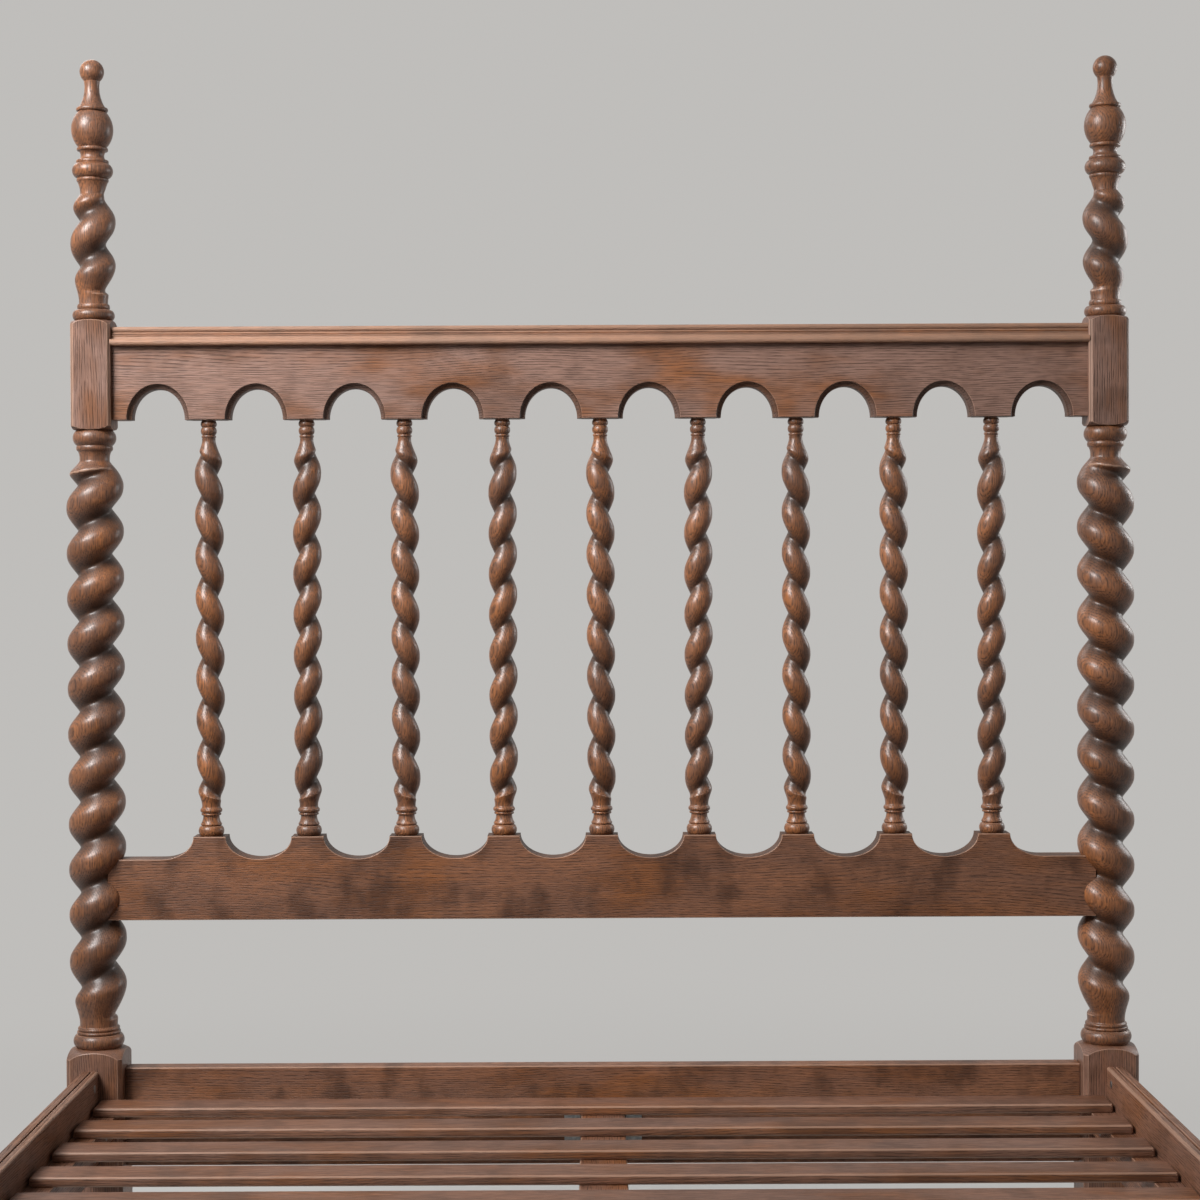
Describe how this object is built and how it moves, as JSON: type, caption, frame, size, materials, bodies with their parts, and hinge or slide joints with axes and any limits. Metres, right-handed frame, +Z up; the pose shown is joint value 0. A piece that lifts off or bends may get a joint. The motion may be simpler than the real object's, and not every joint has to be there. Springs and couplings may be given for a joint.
{
  "type": "four-poster bed",
  "caption": "King-size four-poster bed frame with barley-twist posts and finials, an arcaded spindle headboard, beaded side rails and a slatted deck.",
  "frame": {"origin": "on the floor, under the middle of the bed", "axes": "+X to the right seen from the foot end, +Y from the foot to the headboard, +Z up"},
  "size_m": [1.62, 2.188, 1.9264],
  "materials": {
    "turned_oak": "satin stain and wax",
    "rail_oak": "satin stain and wax",
    "slat_oak": "thin stain",
    "zinc_steel": "zinc plated"
  },
  "bodies": {
    "bed_frame": {"barrel_nuts": "zinc_steel", "beam_bracket_foot": "zinc_steel", "beam_bracket_head": "zinc_steel", "bed_bolts": "zinc_steel", "bolt_covers": "turned_oak", "bracket_screws": "zinc_steel", "cap_moulding": "rail_oak", "centre_beam": "slat_oak", "centre_leg_foot": "slat_oak", "centre_leg_head": "slat_oak", "finial_foot_left": "turned_oak", "finial_foot_right": "turned_oak", "finial_head_left": "turned_oak", "finial_head_right": "turned_oak", "foot_rail": "rail_oak", "head_rail": "rail_oak", "insert_nuts": "zinc_steel", "ledger_left": "slat_oak", "ledger_right": "slat_oak", "ledger_screws": "zinc_steel", "lower_post_foot_left": "turned_oak", "lower_post_foot_right": "turned_oak", "lower_post_head_left": "turned_oak", "lower_post_head_right": "turned_oak", "lower_rail": "rail_oak", "side_rail_left": "rail_oak", "side_rail_right": "rail_oak", "slat_01": "slat_oak", "slat_02": "slat_oak", "slat_03": "slat_oak", "slat_04": "slat_oak", "slat_05": "slat_oak", "slat_06": "slat_oak", "slat_07": "slat_oak", "slat_08": "slat_oak", "slat_09": "slat_oak", "slat_10": "slat_oak", "slat_11": "slat_oak", "slat_12": "slat_oak", "slat_13": "slat_oak", "slat_14": "slat_oak", "slat_15": "slat_oak", "slat_16": "slat_oak", "spindle_1": "turned_oak", "spindle_2": "turned_oak", "spindle_3": "turned_oak", "spindle_4": "turned_oak", "spindle_5": "turned_oak", "spindle_6": "turned_oak", "spindle_7": "turned_oak", "spindle_8": "turned_oak", "spindle_9": "turned_oak", "top_rail": "rail_oak", "upper_post_foot_left": "turned_oak", "upper_post_foot_right": "turned_oak", "upper_post_head_left": "turned_oak", "upper_post_head_right": "turned_oak"},
    "foot_screw_head": {"levelling_foot_head": "zinc_steel"},
    "foot_screw_foot": {"levelling_foot_foot": "zinc_steel"}
  },
  "joints": [
    {"name": "foot_travel_head", "type": "slide", "parent": "bed_frame", "child": "foot_screw_head", "axis": [0, 0, 1], "range_m": [0, 0.01]},
    {"name": "foot_travel_foot", "type": "slide", "parent": "bed_frame", "child": "foot_screw_foot", "axis": [0, 0, 1], "range_m": [0, 0.01]}
  ]
}
